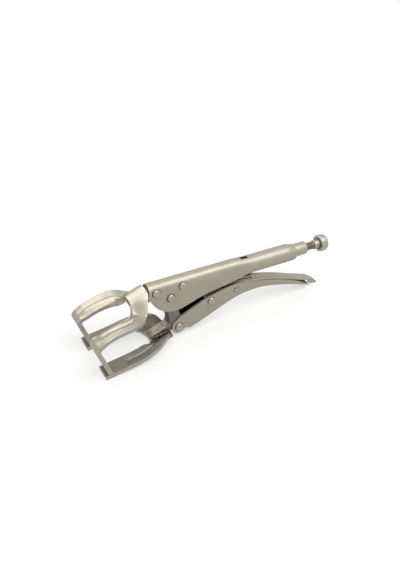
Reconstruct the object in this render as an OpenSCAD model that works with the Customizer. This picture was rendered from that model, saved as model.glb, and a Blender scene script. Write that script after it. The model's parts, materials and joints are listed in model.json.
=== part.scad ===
// Locking U-jaw welding clamp, standing on its lower pads and release lever, jaws closed.
// Drawn about the jaw pivot: X runs along the housing to the knob, Y across, Z up.
// The module stand() then tips the whole clamp onto its feet and centres it.

/* [Housing] */
// Outside width of the folded housing and of the lever
housing_w = 15.2; // [14.8:0.2:16.4]
// Thickness of the sheet steel that both are folded from
sheet_t = 1.8; // [1.6:0.1:2]
// Outside diameter of the round rear part of the housing
tube_d = 17.8; // [17.4:0.2:19]
// Distance from the jaw pivot to the rear end of the housing
housing_l = 141; // [134:1:150]

/* [Jaws] */
// Width across both arms of a jaw
jaw_w = 59.6; // [54:0.2:72]
// Clear gap between the two arms of a jaw
arm_gap = 28.2; // [24:0.2:32]
// Thickness of the pressed jaw plate
plate_t = 4.4; // [4:0.1:5]
// Distance from the jaw pivot forward to the front edge of the pads
jaw_reach = 75.6; // [70:0.2:90]
// Distance from the jaw pivot down to the front edge of the pads
jaw_drop = 48.7; // [47:0.1:56]
// Gap on each side of the solid stem inside the housing
stem_gap = 0.2; // [0.15:0.05:0.8]

/* [Rivets] */
// Diameter of the rivet shanks
rivet_d = 5.6; // [4.6:0.2:6]
// Diameter of the domed rivet heads
rivet_head_d = 9; // [8:0.2:9.6]
// Height of the domed rivet heads
rivet_head_h = 2; // [1.4:0.1:2.4]

/* [Handles] */
// Distance from the jaw pivot to the tail of the lever
lever_l = 161.5; // [156:0.5:168]
// Gap on each side of the release lever inside the lever
release_gap = 0.7; // [0.4:0.05:1.3]
// Gap on each side of the toggle link inside the lever
link_gap = 1; // [0.8:0.05:1.8]

/* [Adjusting screw] */
// Outside diameter of the screw thread
screw_d = 8; // [7:0.1:8.4]
// Length of screw standing out between the bushing and the knob
screw_out = 16.5; // [14:0.5:24]
// Outside diameter of the bushing behind the housing
bushing_d = 13.2; // [12:0.1:13.8]
// Length of bushing standing out behind the housing
bushing_l = 14; // [10:0.5:18]
// Diameter of the knob
knob_d = 17; // [14:0.5:24]
// Length of the knob rim
knob_l = 8.6; // [7:0.2:12]

/* [Part to show] */

/* [Hidden] */

// fineness of round work and of the drawn curves
round_fn = 48;
steps = 4;
eps = 0.01;
far = 400;

// gaps that let neighbours move or sit together
run_gap = 0.04;
seat_gap = 0.02;
side_gap = 0.25;

// main levels
half_w = housing_w / 2;
inner_w = housing_w - 2 * sheet_t;
stem_w = inner_w - 2 * stem_gap;
release_w = inner_w - 2 * release_gap;
link_w = inner_w - 2 * link_gap;
axis_z = 6.7;
roof_z = axis_z + tube_d / 2 + 0.4;
roof_r = 3.6;
nose_top_x = -21.4;
nose_low_x = -22.8;

// how far the jaws are longer and deeper than the base shape
reach_add = jaw_reach - 75.6;
drop_add = jaw_drop - 48.7;
tail_add = lever_l - 161.5;
rear_add = housing_l - 141;

// pivots, as distance along the axis and height
front_rivet = [-14.8, 9.9];
rear_rivet = [12.4, 9.9];
lever_pivot = [10, -38];
link_pivot = [44.5, -18.6];
release_pivot = [72.2, -14];
link_end = [92.5, axis_z];

// ---- helpers ----
function spline_at(p, i, t) =
    let (a = p[max(i - 1, 0)], b = p[i], c = p[i + 1], d = p[min(i + 2, len(p) - 1)])
    0.5 * (2 * b + (c - a) * t + (2 * a - 5 * b + 4 * c - d) * t * t
        + (3 * b - a - 3 * c + d) * t * t * t);
function spline(p, n = steps) = concat(
    [for (i = [0:len(p) - 2]) for (k = [0:n - 1]) spline_at(p, i, k / n)],
    [p[len(p) - 1]]);
function beside(p, d) = [for (i = [0:len(p) - 1])
    let (a = p[max(i - 1, 0)], b = p[min(i + 1, len(p) - 1)], t = (b - a) / norm(b - a))
    p[i] + d * [-t[1], t[0]]];
function back(p) = [for (i = [len(p) - 1:-1:0]) p[i]];
function mirrored(p) = concat(p, [for (q = back(p)) [q[0], -q[1]]]);

// tips the clamp onto its feet, with its middle over the origin
module stand() {
    translate([-mid_x, 0, -floor_z])
        rotate([0, rest_tilt, 0])
            children();
}

// smooth step from 0 at a to 1 at b
function ease(x, a, b) = let (u = max(0, min(1, (x - a) / (b - a)))) u * u * (3 - 2 * u);
// smooth bump, 1 in the middle and 0 from u = 1 outwards
function bump(u) = pow(cos(90 * min(abs(u), 1)), 2);

// a pressed sheet whose top face is top(x, y), cut square at its edges
module pressed_sheet(top, x0, x1, nx, half_y, ny, thick) {
    xs = [for (i = [0:nx]) x0 + (x1 - x0) * i / nx];
    ys = [for (j = [0:ny]) half_y * (2 * j / ny - 1)];
    row = ny + 1;
    count = (nx + 1) * row;
    points = concat(
        [for (x = xs) for (y = ys) [x, y, top(x, y)]],
        [for (x = xs) for (y = ys) [x, y, top(x, y) - thick]]);
    faces = concat(
        [for (i = [0:nx - 1]) for (j = [0:ny - 1]) let (a = i * row + j)
            each [[a, a + 1, a + row + 1], [a, a + row + 1, a + row]]],
        [for (i = [0:nx - 1]) for (j = [0:ny - 1]) let (a = count + i * row + j)
            each [[a, a + row + 1, a + 1], [a, a + row, a + row + 1]]],
        [for (i = [0:nx - 1]) for (a = [i * row, i * row + ny])
            a == i * row ? [a, a + row, a + row + count, a + count]
                : [a + row, a, a + count, a + row + count]],
        [for (j = [0:ny - 1]) for (a = [j, nx * row + j])
            a == j ? [a + 1, a, a + count, a + 1 + count]
                : [a, a + 1, a + 1 + count, a + count]]);
    polyhedron(points, faces);
}

// a side view extruded across the clamp
module across(w) {
    rotate([90, 0, 0])
        linear_extrude(w, center = true)
            children();
}

// a round bar across the clamp at a point of the side view
module cross_bar(at, r, w) {
    translate([at[0], 0, at[1]])
        rotate([90, 0, 0])
            cylinder(r = r, h = w, center = true, $fn = round_fn);
}

// a round bar along the axis of the housing
module axis_bar(x0, x1, r) {
    translate([x0, 0, axis_z])
        rotate([0, 90, 0])
            cylinder(r = r, h = x1 - x0, $fn = round_fn);
}

// a shank with a domed head on each side of the width w
module rivet(at, shank_r, head_r, head_h, w) {
    dome_r = (head_r * head_r + head_h * head_h) / (2 * head_h);
    translate([at[0], 0, at[1]]) {
        rotate([90, 0, 0])
            cylinder(r = shank_r, h = w + 2 * seat_gap + eps, center = true, $fn = round_fn);
        for (side = [-1, 1])
            translate([0, side * (w / 2 + seat_gap), 0])
                rotate([-90 * side, 0, 0])
                    rotate_extrude($fn = round_fn)
                        intersection() {
                            translate([0, head_h - dome_r])
                                circle(r = dome_r, $fn = 96);
                            square([head_r, head_h]);
                        }
    }
}

// ---- housing ----
// side view of the folded part, with its rounded belly
module housing_side() {
    belly = spline([
        [nose_low_x, 7.4], [-19.4, 0], [-13.2, -8.4], [-7.4, -13], [-1, -15.9], [5.7, -16.9],
        [12, -16.1], [23, -12.6], [34.5, -8.7], [48.4, -6], [64, -3.7], [78, -2.2], [90, -2.2]
    ]);
    polygon(concat(belly, [[90, roof_z], [nose_top_x, roof_z]]));
}

// cross-section of the folded part, drawn on its side
module channel_section(w, top, r) {
    translate([-far / 2, -w / 2])
        square([far / 2 + top - r, w]);
    translate([0, -w / 2 + r])
        square([top, w - 2 * r]);
    for (side = [-1, 1])
        translate([top - r, side * (w / 2 - r)])
            circle(r = r, $fn = round_fn);
}

module channel_bar(w, top, r, x0, x1) {
    translate([x0, 0, 0])
        rotate([0, 90, 0])
            rotate([0, 0, 180])
                linear_extrude(x1 - x0)
                    channel_section(w, top, r);
}

// the swell stands this far inside the channel and the tube where it meets them
loft_step = 0.12;

// where the channel swells into the tube
module swell(w, top, low, r, tube_r, x0, x1) {
    hull() {
        intersection() {
            channel_bar(w - 2 * loft_step, top - loft_step, r, x0 - 1, x0);
            translate([x0 - 2, -w, low])
                cube([3, 2 * w, far]);
        }
        axis_bar(x1, x1 + 1, tube_r - loft_step);
    }
}

swell_x0 = 66;
swell_x1 = 93;
tube_r = tube_d / 2;
bore_r = tube_r - sheet_t;
mouth_end = 99;
mouth_w = inner_w - 0.6;

module housing() {
    color([0.74, 0.72, 0.68])
    difference() {
        union() {
            intersection() {
                across(housing_w + 2)
                    housing_side();
                channel_bar(housing_w, roof_z, roof_r, nose_low_x - 1, swell_x0);
            }
            swell(housing_w, roof_z, -3.4, roof_r, tube_r, swell_x0, swell_x1);
            axis_bar(swell_x1, housing_l, tube_r);
        }
        channel_bar(inner_w, roof_z - sheet_t, roof_r - sheet_t, nose_low_x - 2, swell_x0);
        swell(inner_w, roof_z - sheet_t, -3.4 + sheet_t, roof_r - sheet_t, bore_r,
            swell_x0, swell_x1);
        axis_bar(swell_x1, housing_l + 1, bore_r);
        // mouth that the toggle link passes through
        translate([mouth_end - mouth_w / 2, 0, -20])
            cylinder(d = mouth_w, h = 20 + axis_z, $fn = round_fn);
        translate([swell_x0 - 2, -mouth_w / 2, -20])
            cube([mouth_end - mouth_w / 2 - swell_x0 + 2, mouth_w, 20 + axis_z]);
        // slot that the spring hooks into
        translate([78, -1.6, roof_z - 6])
            cube([8, 3.2, 10]);
        for (at = [front_rivet, rear_rivet, [0, 0]])
            cross_bar(at, rivet_d / 2 + seat_gap, housing_w + 4);
    }
}

// ---- bushing, screw and knob ----
bushing_in = 15;
bushing_end = housing_l + bushing_l;
knob_x0 = bushing_end + screw_out;

module screw_bushing() {
    color([0.76, 0.74, 0.7])
    difference() {
        union() {
            axis_bar(housing_l - bushing_in, housing_l + eps, bore_r - seat_gap);
            axis_bar(housing_l, bushing_end - 1, bushing_d / 2);
            translate([bushing_end - 1, 0, axis_z])
                rotate([0, 90, 0])
                    cylinder(r1 = bushing_d / 2, r2 = bushing_d / 2 - 0.7, h = 1, $fn = round_fn);
        }
        axis_bar(housing_l - bushing_in - 1, bushing_end + 1, screw_d / 2 + run_gap);
    }
}

tip_gap = 2.6;
link_tip_r = 3.4;
link_tip_w = 0.68 * link_w;
screw_tip = link_end[0] + link_tip_r + tip_gap;
neck_l = 6;
neck_d = min(screw_d + 1.4, knob_d - 4);
pin_d = screw_d - 3;
knob_edge = 1.2;

module adjusting_screw() {
    color([0.62, 0.6, 0.56])
    union() {
        translate([screw_tip, 0, axis_z])
            rotate([0, 90, 0])
                cylinder(r1 = screw_d / 2 - 1, r2 = screw_d / 2, h = 1, $fn = round_fn);
        axis_bar(screw_tip + 1, knob_x0 - neck_l - seat_gap, screw_d / 2);
        axis_bar(knob_x0 - neck_l - 1, knob_x0 + knob_l - 2, pin_d / 2);
    }
}

module knob() {
    r = knob_d / 2;
    edge = knob_edge;
    color([0.8, 0.78, 0.74])
    translate([knob_x0, 0, axis_z])
        rotate([0, 90, 0])
            difference() {
                rotate_extrude($fn = 64)
                    polygon([
                        [0, -neck_l], [neck_d / 2 - 0.4, -neck_l], [neck_d / 2, -neck_l + 0.6],
                        [neck_d / 2, 0.7], [neck_d / 2 + 0.8, 1.3], [r - 1.8, 0.5], [r - 0.9, 0],
                        [r, edge], [r, knob_l - 2 * edge], [r - edge, knob_l - edge / 3],
                        [r - 2 * edge, knob_l], [0, knob_l]
                    ]);
                translate([0, 0, -neck_l - 1])
                    cylinder(d = pin_d + 2 * run_gap, h = neck_l + knob_l - 0.8, $fn = round_fn);
            }
}

// ---- upper jaw ----
arm_in = arm_gap / 2;
arm_out = jaw_w / 2;
pad_slope = 8.8;
leg_lean = 21;
leg_foot_x = -72.4 - reach_add;
pad_front = [-jaw_reach, -jaw_drop];
leg_gap = 0.25;

function pad_z(x) = pad_front[1] + (x - pad_front[0]) * tan(pad_slope);
function leg_x(z) = leg_foot_x + (pad_z(leg_foot_x) - z) * tan(leg_lean);

// the bend between an arm and its leg
arm_slope = 24;
bend_r = 6.6;
arm_end = [-72.5 - reach_add, -9.2];
corner_run = (arm_end[0] - leg_x(arm_end[1])) / (cos(arm_slope) + sin(arm_slope) * tan(leg_lean));
bend_turn = 90 - arm_slope + leg_lean;
bend_start = corner_run - bend_r * tan(bend_turn / 2);
bend_at = arm_end + [
    -bend_start * cos(arm_slope) + bend_r * sin(arm_slope),
    -bend_start * sin(arm_slope) - bend_r * cos(arm_slope)
];
function bend(r) = [for (k = [0:8]) let (a = 90 + arm_slope + bend_turn * k / 8)
    bend_at + r * [cos(a), sin(a)]];

// height of the middle of an arm, from the neck forward to the bend
arm_x = [-22, -34, -46, -56 - reach_add / 2, -65 - reach_add, arm_end[0]];
arm_z = [-0.8, -1.6, -2.9, -4.3, -6.3, arm_end[1]];
function arm_top(x) = let (u = -x) lookup(u, [for (q = arm_line) [-q[0], q[1]]]);
arm_line = spline([for (i = [0:len(arm_x) - 1]) [arm_x[i], arm_z[i]]]);
leg_end_z = -jaw_drop - 6;

module pad_space(lift) {
    across(2 * far)
        polygon([
            [pad_front[0] - 40, pad_z(pad_front[0] - 40) + lift],
            [pad_front[0] + 60, pad_z(pad_front[0] + 60) + lift],
            [pad_front[0] + 60, pad_front[1] - 60], [pad_front[0] - 40, pad_front[1] - 60]
        ]);
}

// plan of the upper jaw: narrow at the housing, wide at the arms
module upper_plan() {
    polygon(mirrored(concat(
        spline([
            [-23.6, half_w], [-25.4, half_w + (arm_out - half_w) * 0.2],
            [-28.4, half_w + (arm_out - half_w) * 0.42],
            [-31.8, half_w + (arm_out - half_w) * 0.62],
            [-37, half_w + (arm_out - half_w) * 0.83],
            [-44, half_w + (arm_out - half_w) * 0.96], [-50, arm_out]
        ]),
        [[-90 - reach_add, arm_out]])));
}

upper_slot_x = -40.4;
module upper_slot_plan() {
    polygon(mirrored(concat(
        spline([
            [upper_slot_x, 0], [upper_slot_x - 0.3, arm_in * 0.4],
            [upper_slot_x - 1.6, arm_in * 0.72], [upper_slot_x - 5, arm_in * 0.93],
            [upper_slot_x - 10, arm_in]
        ]),
        [[-100 - reach_add, arm_in]])));
}

// the saddle climbs from the arms to the nose of the housing
crest_rear = [-23.6, 14.4];
crest_front = [-41.5, 7];
crest_slope = (crest_rear[1] - crest_front[1]) / (crest_rear[0] - crest_front[0]);
arm_mid = (arm_in + arm_out) / 2;
arm_half = (arm_out - arm_in) / 2;
rib_h = 1.7;
rib_w = arm_half * 0.62;
edge_tilt = 1.3;

function crest(x) = crest_rear[1] + (x - crest_rear[0]) * crest_slope;
crest_flat = 3.5;
function beyond(y, flat, w) = max(abs(y) - flat, 0) / (w - flat);
function saddle_w(x) = 26 - 10.6 * ease(-x, 24, 41);
function upper_top(x, y) =
    let (
        a = arm_top(x),
        flat_end = ease(x, arm_end[0] + 1, arm_end[0] + 8),
        tilt = edge_tilt * max(-1, min(1, (abs(y) - arm_mid) / arm_half)) * flat_end,
        rib = rib_h * bump((abs(y) - arm_mid) / rib_w) * flat_end * ease(-x, 26, 40)
    )
    a + tilt * ease(-x, 30, 44) + rib + (crest(x) - a) * ease(-x, 62, 44)
        * bump(beyond(y, crest_flat, saddle_w(x)));

module upper_jaw() {
    color([0.7, 0.68, 0.63])
    difference() {
        intersection() {
            union() {
                across(jaw_w + 2)
                    polygon(concat(
                        bend(bend_r), [[leg_x(leg_end_z), leg_end_z]],
                        [[leg_x(leg_end_z) + plate_t / cos(leg_lean), leg_end_z]],
                        back(bend(bend_r - plate_t)),
                        [arm_end + plate_t * [sin(arm_slope), -cos(arm_slope)], arm_end]
                    ));
                pressed_sheet(function(x, y) upper_top(x, y), arm_end[0] - 0.4, -23.6, 24,
                    arm_out + 1, 34, plate_t * 1.06);
            }
            translate([0, 0, -far / 2])
                linear_extrude(far)
                    upper_plan();
        }
        translate([0, 0, -far / 2])
            linear_extrude(far)
                upper_slot_plan();
        pad_space(leg_gap);
    }
}

// under side of the saddle on the centre line
function saddle_low(x) = crest(x) - plate_t * 1.06;

module upper_jaw_tang() {
    top_z = roof_z - sheet_t - 0.7 * (roof_r - sheet_t);
    color([0.55, 0.53, 0.5])
    difference() {
        across(stem_w)
            polygon([
                [-38.5, saddle_low(-38.5) - 1.8], [-23.6, saddle_low(-23.6) - 1.2],
                [-22.6, top_z - 3], [-21, top_z], [20, top_z], [20, 5.4], [8, 5.4], [-9, 5.4],
                [-13.5, 4.6], [-22.4, 0.4], [-38.5, saddle_low(-38.5) - 5]
            ]);
        cross_bar([0, 0], stem_top_r + 0.4, housing_w);
        for (at = [front_rivet, rear_rivet])
            cross_bar(at, rivet_d / 2 + seat_gap, housing_w);
    }
}

weld_r = 2.4;

// triangular bead along the edge of a stem, from one point of the side view to another
module bead(from, to, side, up, lift) {
    run = to - from;
    translate([from[0], side * (stem_w / 2 + seat_gap), from[1]])
        rotate([0, -atan2(run[1], run[0]), 0])
            rotate([90, 0, 90])
                linear_extrude(norm(run))
                    polygon([[0, 0], [side * weld_r, up * lift], [0, up * weld_r]]);
}

module upper_jaw_welds() {
    color([0.72, 0.64, 0.44])
    for (side = [-1, 1])
        bead([-37.5, saddle_low(-37.5) - 1.5], [-26, saddle_low(-26) - 0.9], side, -1, 1.9);
}

module jaw_rivets() {
    color([0.82, 0.8, 0.76])
    for (at = [front_rivet, rear_rivet])
        rivet(at, rivet_d / 2, rivet_head_d / 2, rivet_head_h, housing_w);
}

module pivot_rivet() {
    color([0.88, 0.86, 0.82])
    rivet([0, 0], rivet_d / 2, rivet_head_d / 2, rivet_head_h, housing_w);
}

// ---- lower jaw ----
stem_top_r = 7;
lobe_r = 7.4;
trough_end = [2, -41.4];
trough_rise = 9.4;
lug_hole = [13.2, -7.6];

function trough_z(x) = trough_end[1] + (x - trough_end[0]) * tan(trough_rise);

// height of the middle of a lower arm, from the crease of the pad to the stem
crease_x = -53 - reach_add;
pad_t = plate_t * 1.02;
low_line = spline([
    [crease_x - 3, pad_z(crease_x - 3)], [crease_x, pad_z(crease_x)],
    [-44 - reach_add / 2, -43.5 - drop_add * 0.8], [-35, -41.3 - drop_add * 0.5],
    [-28, -39.2 - drop_add * 0.2], [-21, -37.2], [-11, -34.9], [-3, -33.8], [4, -33.4]
]);
trough_flat = stem_w / 2 + 1.2;
function low_arm(x) = lookup(x, low_line);
function trough_w(x) = 17 + 4 * ease(-x, 0, 22);
function lower_top(x, y) =
    let (
        a = low_arm(x),
        open = ease(x, -33, -23),
        groove = rib_h * 0.9 * bump((abs(y) - arm_mid) / rib_w)
            * ease(x, crease_x + 1, crease_x + 7) * ease(-x, 14, 24)
    )
    a - groove - (a - trough_z(x)) * bump(beyond(y, trough_flat, trough_w(x))) * open;

module lower_plan() {
    polygon(mirrored(concat(
        spline([
            [1.6, half_w + 0.6], [-1, half_w + (arm_out - half_w) * 0.17],
            [-6, half_w + (arm_out - half_w) * 0.4], [-12, half_w + (arm_out - half_w) * 0.63],
            [-21, half_w + (arm_out - half_w) * 0.86], [-33, half_w + (arm_out - half_w) * 0.98],
            [-42, arm_out]
        ]),
        [[-90 - reach_add, arm_out]])));
}

lower_slot_x = -19.4;
module lower_slot_plan() {
    polygon(mirrored(concat(
        spline([
            [lower_slot_x, 0], [lower_slot_x - 0.5, arm_in * 0.4],
            [lower_slot_x - 4, arm_in * 0.72], [lower_slot_x - 10, arm_in * 0.93],
            [lower_slot_x - 17, arm_in]
        ]),
        [[-100 - reach_add, arm_in]])));
}

module lower_jaw() {
    color([0.62, 0.59, 0.53])
    difference() {
        intersection() {
            union() {
                across(jaw_w + 2)
                    polygon([
                        pad_front, [crease_x, pad_z(crease_x)],
                        [crease_x + 0.6, pad_z(crease_x) - pad_t],
                        pad_front + pad_t * [sin(pad_slope), -cos(pad_slope)]
                    ]);
                pressed_sheet(function(x, y) lower_top(x, y), crease_x - 0.2, 2.4, 24,
                    arm_out + 1, 34, plate_t * 1.03);
            }
            translate([0, 0, -far / 2])
                linear_extrude(far)
                    lower_plan();
        }
        translate([0, 0, -far / 2])
            linear_extrude(far)
                lower_slot_plan();
    }
}

module lower_jaw_stem() {
    color([0.56, 0.54, 0.5])
    difference() {
        union() {
            across(stem_w)
                polygon([
                    [-stem_top_r, -0.6], [-5.6, -6], [-2, -17], [0.4, -27], [0.6, -34.6],
                    [-18.4, -42.6], [-18.8, trough_z(-18.8) + seat_gap],
                    [2.4, trough_z(2.4) + seat_gap], [lever_pivot[0] - 1, lever_pivot[1] - lobe_r + 0.3],
                    [lever_pivot[0] + lobe_r - 0.3, lever_pivot[1] + 1], [13.2, -28], [9.6, -18.4],
                    [7.4, -9], [stem_top_r, -0.6]
                ]);
            cross_bar([0, 0], stem_top_r, stem_w);
            cross_bar(lever_pivot, lobe_r, stem_w);
            across(lug_t)
                polygon([[5, -3.6], [11.6, -4.4], [16, -6.4], [16, -9.4], [12, -11.2], [6, -12.6]]);
        }
        for (at = [[0, 0], lever_pivot])
            cross_bar(at, rivet_d / 2 + run_gap, housing_w);
        cross_bar(lug_hole, 1, housing_w);
    }
}

module lower_jaw_welds() {
    color([0.74, 0.66, 0.46])
    for (side = [-1, 1])
        bead([-18.4, trough_z(-18.4) + seat_gap], [-1, trough_z(-1) + seat_gap], side, 1, 0.8);
}

// ---- spring ----
spring_r = 3.1;
spring_wire = 0.5;
spring_rear = [80.8, 14.3];
front_hook = 6;
rear_hook = 19;
lug_t = 2.4;

// a close coil, drawn as its sleeve, with a wire to the lug and one to the slot
module spring() {
    run = spring_rear - lug_hole;
    long = norm(run);
    wire_y = lug_t / 2 + spring_wire + 0.3;
    color([0.45, 0.44, 0.42])
    translate([lug_hole[0], 0, lug_hole[1]])
        rotate([0, 90 - atan2(run[1], run[0]), 0]) {
            difference() {
                translate([0, 0, front_hook])
                    cylinder(r = spring_r, h = long - front_hook - rear_hook, $fn = 24);
                translate([0, 0, front_hook - 1])
                    cylinder(r = spring_r - 2 * spring_wire, h = long, $fn = 24);
            }
            for (z = [front_hook, long - rear_hook])
                translate([-spring_wire, -spring_r + 0.2, z - spring_wire])
                    cube([2 * spring_wire, 2 * spring_r - 0.4, 2 * spring_wire]);
            translate([0, 0, long - rear_hook])
                cylinder(r = spring_wire, h = rear_hook, $fn = 24);
            translate([0, wire_y, -spring_wire])
                cylinder(r = spring_wire, h = front_hook + spring_wire, $fn = 24);
            translate([0, wire_y, 0])
                rotate([90, 0, 0])
                    cylinder(r = spring_wire - 0.02, h = 2 * wire_y, $fn = 24);
        }
}

// ---- lever ----
lever_top = spline([
    [3.6, -32.4], [11.2, -26.6], [27.5, -18.8], [41, -13], [57.8, -8.7], [71.8, -7], [82, -8.2],
    [95.3, -11.3], [123.4, -19.2], [144 + tail_add / 2, -27.2], [157 + tail_add, -33.6],
    [lever_l, -36.4]
], 3);
lever_low = spline([
    [18.6, -43.8], [22.4, -45.2], [30, -42.4], [44.1, -36.4], [63.3, -27.8], [76, -23.6],
    [88.5, -21.8], [104.4, -22], [125.1, -26.5], [145 + tail_add / 2, -32.4], [lever_l, -38.4]
], 3);

module lever() {
    notch_x = 16.8;
    web_low = beside(lever_low, sheet_t);
    color([0.74, 0.72, 0.68])
    difference() {
        union() {
            across(housing_w)
                polygon(concat(lever_top, back(lever_low), [[notch_x, -43.2], [12, -43.4], [5, -42]]));
            cross_bar(lever_pivot, lobe_r + 0.2, housing_w);
        }
        across(inner_w)
            polygon(concat([[-20, -70], [notch_x + 1.6, -70]], web_low,
                [[lever_l + 10, web_low[len(web_low) - 1][1] - 3], [lever_l + 10, 20], [-20, 20]]));
        for (at = [lever_pivot, link_pivot])
            cross_bar(at, rivet_d / 2 + seat_gap, housing_w + 4);
        cross_bar(release_pivot, pin_r + seat_gap, housing_w + 4);
    }
}

pin_r = 1.9;

module lever_pivot_rivet() {
    color([0.82, 0.8, 0.76])
    rivet(lever_pivot, rivet_d / 2, rivet_head_d / 2, rivet_head_h, housing_w);
}

module link_rivet() {
    color([0.82, 0.8, 0.76])
    rivet(link_pivot, rivet_d / 2, rivet_head_d / 2, rivet_head_h, housing_w);
}

module release_pin() {
    color([0.7, 0.68, 0.64])
    rivet(release_pivot, pin_r, 2.9, 0.6, housing_w);
}

// ---- toggle link ----
module toggle_link() {
    run = link_end - link_pivot;
    long = norm(run);
    color([0.5, 0.49, 0.46])
    difference() {
        translate([link_pivot[0], 0, link_pivot[1]])
            rotate([0, -atan2(run[1], run[0]), 0])
                {
                    across(link_w) {
                        circle(r = 5, $fn = round_fn);
                        polygon([[0, -5], [16, -3.6], [16, 3.6], [0, 5]]);
                    }
                    across(link_tip_w) {
                        translate([long, 0])
                            circle(r = link_tip_r, $fn = round_fn);
                        polygon([[10, -3.6], [long - 10, -3.2], [long, -link_tip_r],
                            [long, link_tip_r], [long - 10, 3.2], [10, 3.6]]);
                    }
                }
        cross_bar(link_pivot, rivet_d / 2 + run_gap, housing_w);
    }
}

// ---- release lever ----
release_top = spline([
    [66.6, -12], [72.2, -9.8], [80, -9.4], [90, -10.6], [99, -11.6], [109, -13.6],
    [125, -18], [145.7 + tail_add / 2, -25.3], [160 + tail_add, -30.6],
    [167.4 + tail_add, -33.8], [172.4 + tail_add, -37.2], [176 + tail_add, -40.4]
], 3);
release_low = spline([
    [66.6, -18.2], [72.2, -18.4], [80, -17.4], [90, -16.2], [100, -15.8], [109, -17.2],
    [125, -20.9], [145.7 + tail_add / 2, -27.6], [157 + tail_add, -31.5], [161 + tail_add, -32.4]
], 3);
lip_x = 161 + tail_add;
release_t = 1.5;

module release_lever() {
    finger = [57.4, -20.6];
    lip_w = release_w * 0.72;
    color([0.72, 0.7, 0.65])
    difference() {
        union() {
            intersection() {
                across(release_w)
                    polygon(concat(release_top, back(beside(release_top, -release_t))));
                translate([0, 0, -far / 2])
                    linear_extrude(far)
                        polygon(mirrored([
                            [60, release_w / 2], [lip_x + 1, release_w / 2],
                            [lip_x + 8, lip_w / 2], [lip_x + 20, lip_w / 2 - 0.6]
                        ]));
            }
            difference() {
                across(release_w)
                    polygon(concat(
                        [for (q = release_top) if (q[0] <= lip_x + eps) q],
                        back(release_low), [finger, [finger[0], finger[1] + 3]]));
                across(release_w - 2 * release_t)
                    polygon(concat(
                        [for (q = beside(release_top, -release_t)) if (q[0] <= lip_x + 3) q],
                        [[lip_x + 3, -60], [70, -60], [68, -14]]));
            }
        }
        cross_bar(release_pivot, pin_r + run_gap, housing_w);
    }
}

// ---- stance ----
// the clamp rests on the front edges of its pads and on the lip of its release lever
foot = pad_front + pad_t * [sin(pad_slope), -cos(pad_slope)];
lip_low = beside(release_top, -release_t)[len(release_top) - 1];
rest_tilt = atan2(lip_low[1] - foot[1], lip_low[0] - foot[0]);
function stood(p) = [
    p[0] * cos(rest_tilt) + p[1] * sin(rest_tilt),
    p[1] * cos(rest_tilt) - p[0] * sin(rest_tilt)
];
floor_z = stood(foot)[1];
front_x = min([for (q = bend(bend_r)) stood(q)[0]]);
rear_x = stood([knob_x0 + knob_l, axis_z + knob_d / 2 - 2 * knob_edge])[0];
mid_x = (front_x + rear_x) / 2;

stand() housing();
stand() screw_bushing();
stand() upper_jaw();
stand() upper_jaw_tang();
stand() upper_jaw_welds();
stand() jaw_rivets();
stand() pivot_rivet();
stand() spring();
stand() lower_jaw();
stand() lower_jaw_stem();
stand() lower_jaw_welds();
stand() lever();
stand() lever_pivot_rivet();
stand() link_rivet();
stand() release_pin();
stand() toggle_link();
stand() release_lever();
stand() adjusting_screw();
stand() knob();
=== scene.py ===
"""Builds the visible locking welding clamp around its solid model and lights it."""

import json
import math
import random

import bmesh
import bpy
from bpy.props import FloatProperty, FloatVectorProperty, PointerProperty
from mathutils import Matrix, Vector, noise


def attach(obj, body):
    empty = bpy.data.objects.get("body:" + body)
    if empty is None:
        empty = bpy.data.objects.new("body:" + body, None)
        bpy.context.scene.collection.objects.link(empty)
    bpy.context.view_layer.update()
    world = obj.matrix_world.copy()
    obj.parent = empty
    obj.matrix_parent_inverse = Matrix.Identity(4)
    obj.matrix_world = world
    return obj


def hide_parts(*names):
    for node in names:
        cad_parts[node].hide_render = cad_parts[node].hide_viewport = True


bl_info = {
    "name": "Locking welding clamp",
    "version": (1, 0, 0),
    "blender": (4, 5, 0),
    "location": "3D View > Sidebar > Clamp",
    "description": "Makes the pieces of a locking U-jaw welding clamp and its stage",
    "category": "Object",
}

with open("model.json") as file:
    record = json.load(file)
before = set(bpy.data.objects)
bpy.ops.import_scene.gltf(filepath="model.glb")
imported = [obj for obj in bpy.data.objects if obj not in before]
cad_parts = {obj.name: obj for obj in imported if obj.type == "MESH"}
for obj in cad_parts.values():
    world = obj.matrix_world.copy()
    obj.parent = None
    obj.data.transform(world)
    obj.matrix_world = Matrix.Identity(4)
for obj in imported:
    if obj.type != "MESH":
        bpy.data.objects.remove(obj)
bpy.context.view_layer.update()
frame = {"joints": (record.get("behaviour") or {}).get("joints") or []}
joints = {joint["name"]: joint for joint in frame["joints"]}

# The pieces are drawn in millimetres about the jaw pivot: X along the housing
# to the knob, Y across, Z up. STANCE stands them on the floor, in metres.
MM = 0.001
PIVOT = joints["jaw_hinge"]["pos_m"]
SCREW_AXIS = joints["screw_travel"]["axis"]
STANCE = (
    Matrix.Translation(PIVOT)
    @ Matrix.Rotation(math.atan2(-SCREW_AXIS[2], SCREW_AXIS[0]), 4, "Y")
    @ Matrix.Scale(MM, 4)
)
FROM_STANCE = STANCE.inverted()
STANCE_TURN = STANCE.to_3x3().normalized()
FROM_STANCE_TURN = STANCE_TURN.inverted()


def on_clamp(joint):
    """The place of a joint in the clamp's own frame, as distance and height."""
    at = FROM_STANCE @ Vector(joints[joint]["pos_m"])
    return at.x, at.z


LEVER_PIVOT = on_clamp("lever_hinge")
LINK_PIVOT = on_clamp("link_hinge")
RELEASE_PIVOT = on_clamp("release_hinge")
FRONT_RIVET = (-14.8, 9.9)
REAR_RIVET = (12.4, 9.9)

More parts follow.
